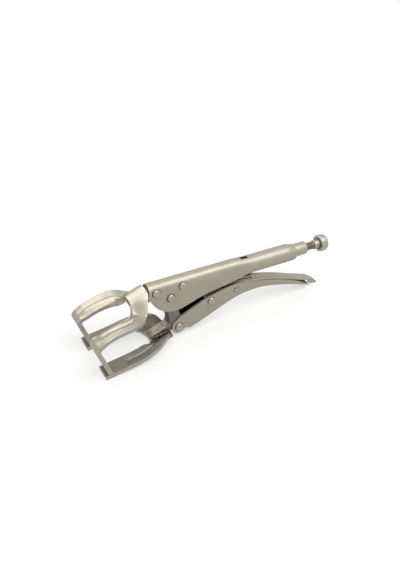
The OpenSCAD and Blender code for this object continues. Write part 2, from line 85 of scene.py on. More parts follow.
# sizes that several pieces share, in millimetres
HALF_W = 7.6  # half the outside width of the housing and the lever
SHEET_T = 1.8
TUBE_R = 8.9
AXIS_Z = 6.7  # height of the tube and the screw
ROOF_Z = 16.0
ROOF_R = 6.9
ROOF_CROWN = 0.8
HOUSING_START, HOUSING_END = -22.8, 141.0
KNOB_X = 171.5
ARM_IN, ARM_OUT = 14.1, 29.8  # the jaws' arms, from the slot to the outer edge
PLATE_T = 4.4
STEM_HALF = 5.6
MERGE_GAP = 0.004  # points closer than this are one


# ---------------------------------------------------------------- curves

def ease(x, a, b):
    """Runs smoothly from 0 at a to 1 at b, and stays there."""
    u = max(0.0, min(1.0, (x - a) / (b - a)))
    return u * u * (3 - 2 * u)


def bump(u):
    """A smooth hill: 1 at 0, down to 0 at 1 on either side."""
    return math.cos(math.pi / 2 * min(abs(u), 1)) ** 2


def mix(a, b, t):
    """The value at share t of the way from a to b."""
    return a + (b - a) * t


def spline(points, per_span=6):
    """Points on a smooth curve through the given ones."""
    out = []
    last = len(points) - 1
    for i in range(last):
        p = [Vector(points[max(0, min(last, i + k))]) for k in (-1, 0, 1, 2)]
        for k in range(per_span):
            t = k / per_span
            out.append(
                0.5 * (2 * p[1] + (p[2] - p[0]) * t
                       + (2 * p[0] - 5 * p[1] + 4 * p[2] - p[3]) * t * t
                       + (3 * p[1] - p[0] - 3 * p[2] + p[3]) * t ** 3)
            )
    out.append(Vector(points[-1]))
    return out


class Path:
    """A line through points, read by the share of its length."""

    def __init__(self, points):
        self.points = [Vector(p) for p in points]
        self.reach = [0.0]
        for a, b in zip(self.points, self.points[1:]):
            self.reach.append(self.reach[-1] + (b - a).length)

    def at(self, share):
        """The point at that share of the length."""
        want = max(0.0, min(1.0, share)) * self.reach[-1]
        i = 1
        while i < len(self.reach) - 1 and want > self.reach[i]:
            i += 1
        span = self.reach[i] - self.reach[i - 1]
        t = (want - self.reach[i - 1]) / span if span else 0.0
        return self.points[i - 1].lerp(self.points[i], t)


def height_at(curve, x):
    """The height of a curve that runs one way along X."""
    pts = sorted(((p[0], p[1]) for p in curve), key=lambda p: p[0])
    if x <= pts[0][0]:
        return pts[0][1]
    for (x0, z0), (x1, z1) in zip(pts, pts[1:]):
        if x <= x1:
            return mix(z0, z1, (x - x0) / (x1 - x0)) if x1 > x0 else z1
    return pts[-1][1]


# ---------------------------------------------------------------- mesh tools

def moved_grid(columns, rows, place, unwanted=None):
    """A grid with each vertex moved to place(u, v), where both run from 0 to 1.

    Faces whose middle (u, v) is unwanted are taken out first.
    """
    bm = bmesh.new()
    bmesh.ops.create_grid(bm, x_segments=columns, y_segments=rows, size=0.5)
    if unwanted:
        middles = [(face, face.calc_center_median()) for face in bm.faces]
        out = [face for face, at in middles if unwanted(at.x + 0.5, at.y + 0.5)]
        bmesh.ops.delete(bm, geom=out, context="FACES")
    for vert in bm.verts:
        vert.co = place(vert.co.x + 0.5, vert.co.y + 0.5)
    return bm


def mirror_half(bm, gap=MERGE_GAP):
    """Mirrors a half across the middle plane, closes the seam and takes out slivers."""
    bmesh.ops.mirror(
        bm, geom=bm.verts[:] + bm.edges[:] + bm.faces[:], axis="Y", merge_dist=MERGE_GAP
    )
    bmesh.ops.remove_doubles(bm, verts=bm.verts, dist=gap)
    bmesh.ops.dissolve_degenerate(bm, edges=bm.edges, dist=gap)


def face_up(bm, judges=None):
    """Makes the normals agree and point up, judged by all the faces or the given ones."""
    bmesh.ops.recalc_face_normals(bm, faces=bm.faces)
    if sum(f.normal.z for f in judges or bm.faces) < 0:
        bmesh.ops.reverse_faces(bm, faces=bm.faces)


def wall(bm, thickness):
    """Gives a sheet its thickness on the side away from its normals."""
    bmesh.ops.solidify(bm, geom=bm.faces[:], thickness=thickness)
    bmesh.ops.recalc_face_normals(bm, faces=bm.faces)


def round_edges(bm, width, angle, segments=2):
    """Rounds the edges that are sharper than angle, in degrees."""
    limit = math.radians(angle)
    sharp = [e for e in bm.edges if len(e.link_faces) == 2 and e.calc_face_angle(0) > limit]
    bmesh.ops.bevel(
        bm, geom=sharp, offset=width, offset_type="OFFSET", segments=segments,
        profile=0.5, affect="EDGES", clamp_overlap=True, material=-1,
    )


def lathe(bm, profile, axis_at=(0, 0, 0), axis=(0, 0, 1), steps=64, material=0):
    """Spins a profile of (radius, distance along the axis) into a closed solid."""
    start = len(bm.verts)
    verts = [bm.verts.new((r, 0, d)) for r, d in profile]
    edges = [bm.edges.new(pair) for pair in zip(verts, verts[1:])]
    before = set(bm.faces)
    bmesh.ops.spin(
        bm, geom=verts + edges, cent=(0, 0, 0), axis=(0, 0, 1),
        angle=2 * math.pi, steps=steps, use_merge=True,
    )
    bm.verts.ensure_lookup_table()
    bmesh.ops.remove_doubles(bm, verts=bm.verts[start:], dist=MERGE_GAP / 2)
    faces = [f for f in bm.faces if f not in before]
    for face in faces:
        face.material_index = material
    bmesh.ops.recalc_face_normals(bm, faces=faces)
    turn = Vector((0, 0, 1)).rotation_difference(Vector(axis)).to_matrix()
    verts = list({v for f in faces for v in f.verts})
    bmesh.ops.rotate(bm, verts=verts, cent=(0, 0, 0), matrix=turn)
    bmesh.ops.translate(bm, verts=verts, vec=axis_at)


def plate(bm, outline, half):
    """An outline in X and Z, extruded across the clamp to both sides."""
    verts = [bm.verts.new((x, -half, z)) for x, z in outline]
    face = bm.faces.new(verts)
    made = bmesh.ops.extrude_face_region(bm, geom=[face])["geom"]
    top = [g for g in made if isinstance(g, bmesh.types.BMVert)]
    bmesh.ops.translate(bm, verts=top, vec=(0, 2 * half, 0))
    bmesh.ops.recalc_face_normals(bm, faces=bm.faces)


def arc(centre, radius, start, end, count):
    """Points on an arc in X and Z, by angles in degrees."""
    out = []
    for k in range(count + 1):
        a = math.radians(mix(start, end, k / count))
        out.append((centre[0] + radius * math.cos(a), centre[1] + radius * math.sin(a)))
    return out


def clamp_faces(piece):
    """Each face of a piece, with its middle and normal in the clamp's own frame."""
    for face in piece.data.polygons:
        yield face, FROM_STANCE @ face.center, FROM_STANCE_TURN @ face.normal


def add_piece(bm, name, body, finishes, nodes, crease=32):
    """Stands the mesh on the floor as an object that rides on its body."""
    bmesh.ops.transform(bm, matrix=STANCE, verts=bm.verts)
    mesh = bpy.data.meshes.new(name)
    bm.to_mesh(mesh)
    bm.free()
    for finish in finishes:
        mesh.materials.append(finish_named(finish))
    mesh.shade_smooth()
    mesh.set_sharp_from_angle(angle=math.radians(crease))
    piece = bpy.data.objects.new(name, mesh)
    bpy.context.scene.collection.objects.link(piece)
    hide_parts(*nodes)
    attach(piece, body)
    return piece


# ---------------------------------------------------------------- settings

class ClampFinish(bpy.types.PropertyGroup):
    """Colours of the plated and bare steel."""

    nickel: FloatVectorProperty(
        name="Nickel plate", description="Colour of the plated housing and handles",
        subtype="COLOR", default=(0.372, 0.343, 0.275), min=0, max=1,
    )
    # the lower jaw's nickel, darkened as painted shade under the upper jaw
    lower: FloatVectorProperty(
        name="Lower jaw", description="Colour of the darker plate of the lower jaw",
        subtype="COLOR", default=(0.18, 0.165, 0.133), min=0, max=1,
    )
    stem: FloatVectorProperty(
        name="Stem", description="Colour of the dark steel stem and links",
        subtype="COLOR", default=(0.22, 0.195, 0.16), min=0, max=1,
    )
    weld: FloatVectorProperty(
        name="Weld", description="Colour of the straw-coloured weld metal",
        subtype="COLOR", default=(0.32, 0.285, 0.205), min=0, max=1,
    )
    thread: FloatVectorProperty(
        name="Thread", description="Colour of the brownish screw thread",
        subtype="COLOR", default=(0.24, 0.21, 0.155), min=0, max=1,
    )
    # how much sharp edges are brightened: a painted highlight
    edge_highlight: FloatProperty(
        name="Edge wear", description="How much brighter worn edges are",
        subtype="FACTOR", default=0.35, min=0, max=1,
    )


class ClampStage(bpy.types.PropertyGroup):
    """Light and lens of the stage."""

    key: FloatProperty(
        name="Key light", description="Power of the long soft light overhead",
        subtype="POWER", default=7.4, min=0,
    )
    back: FloatProperty(
        name="Back light", description="Power of the light behind the jaws",
        subtype="POWER", default=3.5, min=0,
    )
    sky: FloatProperty(
        name="Room light", description="Brightness of the room around the clamp",
        default=0.36, min=0, max=1,
    )
    lens: FloatProperty(
        name="Lens", description="Focal length of the camera",
        subtype="DISTANCE_CAMERA", default=46.65, min=10,
    )


# ---------------------------------------------------------------- materials

MIX_SHARE, MIX_A, MIX_B, MIX_OUT = 0, 6, 7, 2  # the colour sockets of a Mix node
CLOUD_SCALE, SPECK_SCALE = 60, 900
NOISE_SPAN = (0.3, 0.7)
# pointiness from flat to a full edge or fold, and what colour shows there: a painted highlight
# on edges, painted shade in folds
EDGE_SPAN, EDGE_SHEEN_COLOUR = (0.52, 0.60), (0.56, 0.53, 0.455)
FOLD_SPAN, FOLD_SHADE_COLOUR = (0.472, 0.495), (0.07, 0.06, 0.045)


def add_node(tree, kind, values=(), **settings):
    """A new shader node, with its settings and the values of its inputs."""
    node = tree.nodes.new("ShaderNode" + kind)
    for name, value in settings.items():
        setattr(node, name, value)
    for name, value in dict(values).items():
        node.inputs[name].default_value = value
    return node


def ranged(tree, source, span, result):
    """Spreads the source's values in one span over another, and stops at its ends."""
    node = add_node(tree, "MapRange", {
        "From Min": span[0], "From Max": span[1], "To Min": result[0], "To Max": result[1]})
    tree.links.new(source, node.inputs["Value"])
    return node.outputs["Result"]


def mixed(tree, share, first, second):
    """A colour between two, each a socket or a fixed colour."""
    node = add_node(tree, "Mix", data_type="RGBA")
    for socket, source in ((MIX_SHARE, share), (MIX_A, first), (MIX_B, second)):
        if isinstance(source, bpy.types.NodeSocket):
            tree.links.new(source, node.inputs[socket])
        else:
            node.inputs[socket].default_value = (*source, 1)
    return node.outputs[MIX_OUT]


def steel(name, colour, rough, metal=0.85, grain=0.02, mottle=0.12, edge_sheen=0.0, scale=1.0,
          fold_shade=0.0):
    """Plated or bare steel: mottled colour and gloss, fine grain, a painted highlight on edges,
    painted shade in folds.
    """
    material = bpy.data.materials.new(name)
    material.use_nodes = True
    tree = material.node_tree
    links = tree.links
    shader = tree.nodes["Principled BSDF"]
    shader.inputs["Metallic"].default_value = metal
    where = add_node(tree, "TexCoord").outputs["Object"]

    def field(size, detail):
        texture = add_node(tree, "TexNoise", {"Scale": size * scale, "Detail": detail})
        links.new(where, texture.inputs["Vector"])
        return texture.outputs["Fac"]

    cloud, speck = field(CLOUD_SCALE, 5), field(SPECK_SCALE, 3)
    result = mixed(tree, ranged(tree, cloud, NOISE_SPAN, (0, 1)),
                   [c * (1 - mottle) for c in colour],
                   [min(1, c * (1 + mottle)) for c in colour])
    for amount, span, share, tint in (
        (edge_sheen, EDGE_SPAN, (0, edge_sheen), EDGE_SHEEN_COLOUR),
        (fold_shade, FOLD_SPAN, (fold_shade, 0), FOLD_SHADE_COLOUR),
    ):
        if amount:
            shape = add_node(tree, "NewGeometry").outputs["Pointiness"]
            result = mixed(tree, ranged(tree, shape, span, share), result, tint)
    links.new(result, shader.inputs["Base Color"])

    gloss = ranged(tree, speck, NOISE_SPAN, (rough - 0.06, rough + 0.08))
    links.new(gloss, shader.inputs["Roughness"])
    relief = add_node(tree, "Bump", {"Strength": 0.25, "Distance": grain * MM})
    links.new(speck, relief.inputs["Height"])
    links.new(relief.outputs["Normal"], shader.inputs["Normal"])
    return material


def finish_named(name):
    """The steel of that name, made when first asked for."""
    if name in bpy.data.materials:
        return bpy.data.materials[name]
    look = bpy.context.scene.clamp_finish
    edge_sheen = look.edge_highlight
    # the pads: the lower jaw's colour darkened further, painted shade
    pad = [0.95 * c for c in look.lower]
    # colour, roughness, and what else sets the finish apart from plain steel
    recipes = {
        "satin_nickel": (look.nickel, 0.45, {"edge_sheen": edge_sheen, "mottle": 0.05}),
        "jaw_nickel": (look.nickel, 0.36, {"edge_sheen": edge_sheen, "mottle": 0.09, "fold_shade": 0.85}),
        # the lower jaw's top: painted shade under the upper jaw
        "shaded_lower_nickel": (look.lower, 0.42, {"edge_sheen": 0.5 * edge_sheen, "mottle": 0.14, "fold_shade": 0.6}),
        "shaded_pad": (pad, 0.5, {"mottle": 0.1}),
        # a brighter copy of the plate's colour for side faces: painted light
        "painted_lit_side": ((0.40, 0.378, 0.325), 0.5, {"mottle": 0.1}),
        # near black for insides, the spring's slot and rings round heads: painted shade
        "painted_shade_black": ((0.030, 0.028, 0.024), 0.6, {"metal": 0.4}),
        "dark_stem": (look.stem, 0.55, {"metal": 1, "mottle": 0.3}),
        "polished_rivet": ((0.38, 0.35, 0.285), 0.2, {"mottle": 0.05}),
        "straw_weld": (look.weld, 0.56, {"mottle": 0.3, "grain": 0.03, "fold_shade": 0.5}),
        "spring_wire": ((0.15, 0.14, 0.125), 0.35, {}),
        "thread_steel": (look.thread, 0.42, {"mottle": 0.2, "scale": 2}),
        "knob_nickel": (look.nickel, 0.40, {"edge_sheen": edge_sheen, "mottle": 0.07}),
    }
    colour, rough, more = recipes[name]
    return steel(name, colour, rough, **more)


# ---------------------------------------------------------------- housing

BELLY = spline([
    (HOUSING_START, 7.4), (-19.4, 0), (-13.2, -8.4), (-7.4, -13), (-1, -15.9), (5.7, -16.9),
    (12, -16.1), (23, -12.6), (34.5, -8.7), (48.4, -6), (64, -3.7), (78, -2.2), (100, -2.2),
], 8)
NOSE_SETBACK, NOSE_RUN = 1.4, 8.0  # how far the front edge leans back, over what run
SWELL_FROM, SWELL_TO = 66.0, 95.0  # where the channel turns into the tube
# the opening below: where it begins to close, where it is closed, and half its width
MOUTH_WIDE, MOUTH_END, MOUTH_HALF = 84.0, 99.0, 5.4
SWAGE_FROM, SWAGE_DROP = 131.0, 1.7  # the tube's end narrows from above
RIM_DEPTH, RIM_RUN = 0.8, 1.4
SLOT_FROM, SLOT_TO, SLOT_HALF = 78.0, 86.0, 1.6  # the spring's slot in the roof
# shares of the half section: the roof's flat and bend, and the slot
FLAT_SHARE, BEND_SHARE, SLOT_SHARE = 0.06, 0.42, 0.075
BEND_ANGLE = 68  # degrees of the tube that the roof's bend becomes


def housing_stations():
    """Where along the housing its rows lie: close together where the shape turns."""
    rows = [-22.8, -22.4, -21.8, -21.0, -20.0, -18.6, -17.0, -15.2, -13.4, -11.6, -9.8]
    rows += range(-8, 62, 2)
    rows += range(62, 107)
    rows += [112, 118, 124, 129, 132, 134, 135.5, 137, 138.4, 139.6, 140.4, 141.0]
    return rows


def channel_point(s, low):
    """Half of the channel's section, from the middle of the roof down to its edge."""
    flat = HALF_W - ROOF_R
    rise = ROOF_R + ROOF_CROWN
    if s < FLAT_SHARE:
        return flat * s / FLAT_SHARE, ROOF_Z + ROOF_CROWN
    if s < BEND_SHARE:
        a = (s - FLAT_SHARE) / (BEND_SHARE - FLAT_SHARE) * math.pi / 2
        return flat + ROOF_R * math.sin(a), ROOF_Z - ROOF_R + rise * math.cos(a)
    t = (s - BEND_SHARE) / (1 - BEND_SHARE)
    return HALF_W, mix(ROOF_Z - ROOF_R, low, t)


def tube_point(s, stop, radius, top_radius):
    """Half of the tube's section, from the top round to stop degrees."""
    if s < BEND_SHARE:
        a = BEND_ANGLE * s / BEND_SHARE
    else:
        a = mix(BEND_ANGLE, stop, (s - BEND_SHARE) / (1 - BEND_SHARE))
    a = math.radians(a)
    share = (1 + math.cos(a)) / 2
    r = mix(radius, top_radius, share ** 1.5)
    return r * math.sin(a), AXIS_Z + r * math.cos(a)


def housing_point(x, s):
    """A point of half of the housing's outside, at x and at share s of its section."""
    side_top = ROOF_Z - ROOF_R
    y0, z0 = channel_point(s, min(height_at(BELLY, x), side_top - 0.1))
    if x <= SWELL_FROM:
        nose = 1 - ease(x, HOUSING_START, HOUSING_START + NOSE_RUN)
        return Vector((x + NOSE_SETBACK * nose * ease(z0, BELLY[0].y, ROOF_Z), y0, z0))
    stop = 180
    if x < MOUTH_END:
        open_half = mix(HALF_W, MOUTH_HALF, ease(x, SWELL_FROM, MOUTH_WIDE))
        if x > MOUTH_WIDE:
            closed = (x - MOUTH_WIDE) / (MOUTH_END - MOUTH_WIDE)
            open_half = MOUTH_HALF * math.sqrt(1 - closed ** 2)
        stop -= math.degrees(math.asin(min(0.999, open_half / TUBE_R)))
    swage = SWAGE_DROP * ease(x, SWAGE_FROM, HOUSING_END)
    rim = RIM_DEPTH * ease(x, HOUSING_END - RIM_RUN, HOUSING_END)
    y1, z1 = tube_point(s, stop, TUBE_R - rim, TUBE_R - swage - 0.4 * rim)
    t = ease(x, SWELL_FROM, SWELL_TO)
    return Vector((x, mix(y0, y1, t), mix(z0, z1, t)))


class CLAMP_OT_housing(bpy.types.Operator):
    """Makes the folded housing that closes into a round tube."""

    bl_idname = "clamp.housing"
    bl_label = "Housing"

    def execute(self, context):
        rows = housing_stations()
        last = len(rows) - 1

        def place(u, v):
            k = u * last
            i = min(int(k + 1e-6), last - 1)
            return housing_point(mix(rows[i], rows[i + 1], k - i), v)

        def in_slot(u, v):
            i = int(u * last)
            return SLOT_FROM < (rows[i] + rows[i + 1]) / 2 < SLOT_TO and v < SLOT_SHARE

        bm = moved_grid(last, 40, place, in_slot)
        mirror_half(bm)
        bmesh.ops.recalc_face_normals(bm, faces=bm.faces)
        wall(bm, SHEET_T)
        round_edges(bm, 0.28, angle=55)
        piece = add_piece(bm, "housing_shell", "frame",
                          ["satin_nickel", "painted_shade_black"], ["housing"])
        # the inside and the faces round the spring's slot are near black: painted shade
        for face, at, normal in clamp_faces(piece):
            facing = normal.dot(Vector((0, at.y, at.z - AXIS_Z)).normalized())
            by_slot = (at.z > AXIS_Z and SLOT_FROM - 1 < at.x < SLOT_TO + 1
                       and abs(at.y) < SLOT_HALF + 1)
            if facing < -0.2 or by_slot and facing < 0.6:
                face.material_index = 1
        return {"FINISHED"}


# ---------------------------------------------------------------- jaws

PAD_SLOPE = math.tan(math.radians(8.8))
PAD_FRONT = (-75.6, -48.7)
LEG_LEAN = math.radians(21)
ARM_SLOPE = math.radians(24)
ARM_END = (-72.5, -9.2)
BEND_R = 6.6
LEG_FOOT_X = -72.4
LEG_GAP = 0.25
ARM_LINE = spline([
    (-22, -0.8), (-34, -1.6), (-46, -2.9), (-56, -4.3), (-65, -6.3), ARM_END,
], 8)
CREST_REAR, CREST_FRONT = (-23.6, 14.4), (-41.5, 7.0)
CREST_FLAT = 2.6
SADDLE_REAR_HALF, SADDLE_FRONT_HALF = 26.0, 15.4
SADDLE_T = PLATE_T * 1.06  # measured upright through the slope
JAW_GRID = (110, 44)
# height of an arm's top face across its width, from the slot to the outer edge
ARM_SECTION = spline([
    (0, -1.3), (0.07, -1.0), (0.16, 0.3), (0.23, 1.35), (0.29, 1.75), (0.4, 1.75),
    (0.45, 1.2), (0.49, 0.5), (0.53, 0.3), (0.57, 0.45), (0.63, 0.6), (0.72, 0.75),
    (0.85, 1.1), (0.94, 1.35), (1, 1.3),
])


def pad_z(x):
    """Height of the lower jaw's pads."""
    return PAD_FRONT[1] + (x - PAD_FRONT[0]) * PAD_SLOPE


def leg_x(z):
    """Where the front of the leaning legs is at a height."""
    return LEG_FOOT_X + (pad_z(LEG_FOOT_X) - z) * math.tan(LEG_LEAN)


def crest_z(x):
    """Height of the saddle's crest, in the middle of the upper jaw."""
    slope = (CREST_REAR[1] - CREST_FRONT[1]) / (CREST_REAR[0] - CREST_FRONT[0])
    return CREST_REAR[1] + (x - CREST_REAR[0]) * slope


def saddle_low(x):
    """Height of the saddle's underside in the middle."""
    return crest_z(x) - SADDLE_T


def beyond(y, flat, width):
    """How far y lies past the flat, as a share of the way out to width."""
    return max(abs(y) - flat, 0) / (width - flat)


def upper_top(x, y):
    """Height of the upper jaw's top face."""
    a = height_at(ARM_LINE, x)
    half = mix(SADDLE_REAR_HALF, SADDLE_FRONT_HALF, ease(-x, 24, 41))
    return a + (crest_z(x) - a) * ease(-x, 62, 44) * bump(beyond(y, CREST_FLAT, half))


def bend_path():
    """The outer line of the bend and the leg, from the arm's end down past the pad."""
    run = (ARM_END[0] - leg_x(ARM_END[1])) / (
        math.cos(ARM_SLOPE) + math.sin(ARM_SLOPE) * math.tan(LEG_LEAN))
    turn = math.pi / 2 - ARM_SLOPE + LEG_LEAN
    start = run - BEND_R * math.tan(turn / 2)
    centre = (
        ARM_END[0] - start * math.cos(ARM_SLOPE) + BEND_R * math.sin(ARM_SLOPE),
        ARM_END[1] - start * math.sin(ARM_SLOPE) - BEND_R * math.cos(ARM_SLOPE),
    )
    first = 90 + math.degrees(ARM_SLOPE)
    corner = arc(centre, BEND_R, first, first + math.degrees(turn), 16)
    foot_z = pad_z(LEG_FOOT_X) - 4
    return [ARM_END] + corner, [corner[-1], (leg_x(foot_z), foot_z)]


def jaw_plan(inner, outer):
    """Reads a plan point between an inner and an outer line, each in as many parts."""
    parts = [(Path(a), Path(b)) for a, b in zip(inner, outer)]

    def at(part, t, v):
        inside, outside = parts[part]
        return inside.at(t).lerp(outside.at(t), v)

    return at


def part_of(u, cuts):
    """Which stretch of the jaw u falls in, and how far along it."""
    i = 0
    while i < len(cuts) - 2 and u > cuts[i + 1] + 1e-9:
        i += 1
    return i, (u - cuts[i]) / (cuts[i + 1] - cuts[i])


def cut_line(curve, x):
    """A line that runs forward along X, cut in two at x."""
    y = height_at(curve, x)
    return ([p for p in curve if p[0] > x] + [Vector((x, y))],
            [Vector((x, y))] + [p for p in curve if p[0] < x])


class CLAMP_OT_upper_jaw(bpy.types.Operator):
    """Makes the pressed upper jaw: saddle, two ribbed arms, bends and legs."""

    bl_idname = "clamp.upper_jaw"
    bl_label = "Upper jaw"

    def execute(self, context):
        side = spline([
            (-23.6, 7.6), (-25.4, 12.04), (-28.4, 16.92), (-31.8, 21.36), (-37, 26.03),
            (-44, 28.91), (-50, 29.8), (-50.6, 29.8),
        ])
        slot = spline([
            (-40.4, 0), (-40.7, 5.64), (-42.0, 10.15), (-45.4, 13.11), (-50.4, 14.1),
        ])
        near, far = cut_line(side, -32.6)
        plan = jaw_plan(
            [[(-23.6, 0), (-40.4, 0)], slot, [(-50.4, ARM_IN), (ARM_END[0], ARM_IN)]],
            [near, far, [far[-1], (ARM_END[0], ARM_OUT)]],
        )
        corner, leg = (Path(p) for p in bend_path())
        # shares of the rows for the saddle, the corner, the arm, the bend and the leg
        cuts = [0, 0.16, 0.40, 0.64, 0.80, 1.0]

        def place(u, v):
            part, t = part_of(u, cuts)
            if part < 3:
                x, y = plan(part, t, v)
                pressed = ease(t, 0.05, 0.75) if part == 1 else float(part == 2)
                return Vector((x, y, upper_top(x, y) + pressed * height_at(ARM_SECTION, v)))
            x, z = (corner if part == 3 else leg).at(t)
            if part == 3:
                rise = height_at(ARM_SECTION, v) * (1 - ease(t, 0, 0.55))
                z += rise * math.cos(t * math.pi / 2)
                x -= rise * math.sin(t * math.pi / 2)
            return Vector((x, mix(ARM_IN, ARM_OUT, v), z))

        bm = moved_grid(*JAW_GRID, place)
        mirror_half(bm)
        face_up(bm, [f for f in bm.faces if f.calc_center_median().x > -60])
        wall(bm, PLATE_T)
        cut = bmesh.ops.bisect_plane(
            bm, geom=bm.verts[:] + bm.edges[:] + bm.faces[:],
            plane_co=(LEG_FOOT_X, 0, pad_z(LEG_FOOT_X) + LEG_GAP),
            plane_no=(-PAD_SLOPE, 0, 1), clear_inner=True,
        )
        rim = [g for g in cut["geom_cut"] if isinstance(g, bmesh.types.BMEdge)]
        bmesh.ops.contextual_create(bm, geom=rim)
        bmesh.ops.holes_fill(bm, edges=[e for e in bm.edges if e.is_boundary], sides=0)
        bmesh.ops.recalc_face_normals(bm, faces=bm.faces)
        round_edges(bm, 0.55, angle=48, segments=3)
        piece = add_piece(bm, "upper_jaw_plate", "frame",
                          ["jaw_nickel", "painted_lit_side"], ["upper_jaw"])
        for face, at, normal in clamp_faces(piece):
            # side walls take a brighter copy of the plate's colour: painted light
            if abs(normal.y) > 0.8 and abs(at.y) > ARM_IN:  # the sheared side walls
                face.material_index = 1
        return {"FINISHED"}


CREASE_X = -53.0
TROUGH_END = (2.0, -41.4)
TROUGH_RISE = math.tan(math.radians(9.4))
TROUGH_FLAT = 6.8
TROUGH_REAR_HALF, TROUGH_FRONT_HALF = 17.0, 21.0
LOW_LINE = spline([
    (-56, pad_z(-56)), (-53, pad_z(-53)), (-44, -43.5), (-35, -41.3), (-28, -39.2),
    (-21, -37.2), (-11, -34.9), (-3, -33.8), (4, -33.4),
], 8)


# depth of the groove pressed into a lower arm, from the slot to the outer edge
GROOVE_SECTION = spline([
    (0, 0), (0.2, 0.0), (0.34, 0.02), (0.4, 0.2), (0.48, 1.35), (0.52, 1.5), (0.6, 1.25),
    (0.78, 0.6), (0.93, 0.05), (1, 0),
])


def trough_z(x):
    """Height of the trough's floor, in the middle of the lower jaw."""
    return TROUGH_END[1] + (x - TROUGH_END[0]) * TROUGH_RISE


def lower_top(x, y, across):
    """Height of the lower jaw's top face; across runs from the slot to the outer edge."""
    if x <= CREASE_X:
        return pad_z(x)
    a = height_at(LOW_LINE, x)
    groove = (height_at(GROOVE_SECTION, across)
              * ease(x, CREASE_X, CREASE_X + 4) * ease(-x, 9, 16))
    half = mix(TROUGH_REAR_HALF, TROUGH_FRONT_HALF, ease(-x, 0, 22))
    trough = bump(beyond(y, TROUGH_FLAT, half)) * ease(x, -33, -23)
    return a - groove - (a - trough_z(x)) * trough


class CLAMP_OT_lower_jaw(bpy.types.Operator):
    """Makes the pressed lower jaw with its pads, grooves and trough."""

    bl_idname = "clamp.lower_jaw"
    bl_label = "Lower jaw"

    def execute(self, context):
        side = spline([
            (1.6, 8.2), (-1, 11.4), (-6, 16.5), (-12, 21.6), (-21, 26.7), (-33, 29.35),
            (-42, 29.8), (-44, 29.8),
        ])
        slot = spline([
            (-19.4, 0), (-19.9, 5.64), (-23.4, 10.15), (-29.4, 13.11), (-36.4, 14.1),
        ])
        near, rest = cut_line(side, -13.0)
        far, straight = cut_line(rest, -36.4)
        plan = jaw_plan(
            [[(1.6, 0), (-19.4, 0)], slot, [(-36.4, ARM_IN), (CREASE_X, ARM_IN)],
             [(CREASE_X, ARM_IN), (PAD_FRONT[0], ARM_IN)]],
            [near, far, straight + [Vector((CREASE_X, ARM_OUT))],
             [(CREASE_X, ARM_OUT), (PAD_FRONT[0], ARM_OUT)]],
        )
        # shares of the rows for the trough, the corner, the arm and the pad
        cuts = [0, 0.24, 0.52, 0.76, 1.0]

        def place(u, v):
            part, t = part_of(u, cuts)
            x, y = plan(part, t, v)
            return Vector((x, y, lower_top(x, y, v)))

        bm = moved_grid(*JAW_GRID, place)
        mirror_half(bm)
        face_up(bm)
        wall(bm, PLATE_T)
        round_edges(bm, 0.5, angle=48, segments=3)
        piece = add_piece(bm, "lower_jaw_plate", "lower_jaw",
                          ["shaded_lower_nickel", "painted_lit_side", "shaded_pad"], ["lower_jaw"])
        for face, at, normal in clamp_faces(piece):
            # the top keeps the darkened colour, painted shade; all but the top gets a brighter
            # copy, painted light; the pads a darker one, painted shade
            if normal.z < 0.35:  # all but the top
                face.material_index = 1
            elif at.x < CREASE_X:  # the pads
                face.material_index = 2
        return {"FINISHED"}


STEM_TOP_R = 7.0
STEM_LOBE_R = 7.4
WELD_TONGUE = [(-18.4, -42.6), (-9, -38.6), (-1.8, -35.9)]  # the stem's edge under the weld


class CLAMP_OT_stems(bpy.types.Operator):
    """Makes the dark stem of the lower jaw and the tang of the upper jaw."""

    bl_idname = "clamp.stems"
    bl_label = "Stem and tang"

    def execute(self, context):
        bm = bmesh.new()
        plate(bm, (
            arc((0, 0), STEM_TOP_R, 185, -8, 20)
            + [(7.5, -9), (9.6, -18.4), (12.6, -27)]
            + arc(LEVER_PIVOT, STEM_LOBE_R, 42, -92, 18)
            + [(x, trough_z(x) + 0.02) for x in (2.4, -18.8)] + WELD_TONGUE
            + [(0.3, -34.0), (0.7, -31.0), (0.4, -27), (-2, -17), (-5.6, -6)]
        ), STEM_HALF)
        round_edges(bm, 0.5, angle=60)
        plate(bm, [(5, -3.6), (11.6, -4.4), (15, -5.6), (16, -7.6), (15, -9.6), (12, -11.2),
                   (6, -12.6)], 1.2)
        add_piece(bm, "jaw_stem", "lower_jaw", ["dark_stem"], ["lower_jaw_stem"])

        top = ROOF_Z - SHEET_T - 1.26
        front, rear = -38.5, -23.6
        bm = bmesh.new()
        plate(bm, (
            [(front, saddle_low(front) - 1.8), (rear, saddle_low(rear) - 1.2),
             (-22.6, top - 3), (-21, top), (20, top), (20, 5.4)]
            + arc((0, 0), STEM_TOP_R + 0.4, 46, 134, 12)
            + [(-9, 5.4), (-13.5, 4.6), (-22.4, 0.4), (front, saddle_low(front) - 5)]
        ), STEM_HALF)
        round_edges(bm, 0.35, angle=60)
        add_piece(bm, "jaw_tang", "frame", ["dark_stem"], ["upper_jaw_tang"])
        return {"FINISHED"}


BEAD_Y = 5.3  # where a bead's inner edge lies, beside the stem or the tang
CAP_HALF = 4.7


def lumpy_bead(bm, start, end, side, width, height, rng, foot):
    """A row of weld ripples from start to end, as a half-round strip beside the middle.

    Its outer edge lies width further out and foot higher than its inner one.
    """
    phase = rng.random() * 6

    def place(u, v):
        ripple = 1 + 0.16 * math.sin(u * 21 + phase) + 0.12 * math.sin(u * 47 + 2 * phase)
        r = ripple * math.sqrt(max(0.0, 1 - (2 * u - 1) ** 6))
        out = (1 - math.cos(math.pi * v)) / 2
        return Vector((
            mix(start[0], end[0], u) + 0.25 * math.sin(u * 33 + phase),
            side * (BEAD_Y + width * r * out),
            mix(start[1], end[1], u) + height * r * math.sin(math.pi * v) + foot * out,
        ))

    strip = moved_grid(60, 12, place)
    mesh = bpy.data.meshes.new("bead_sketch")
    wall(strip, 0.5)
    strip.to_mesh(mesh)
    strip.free()
    bm.from_mesh(mesh)
    bpy.data.meshes.remove(mesh)


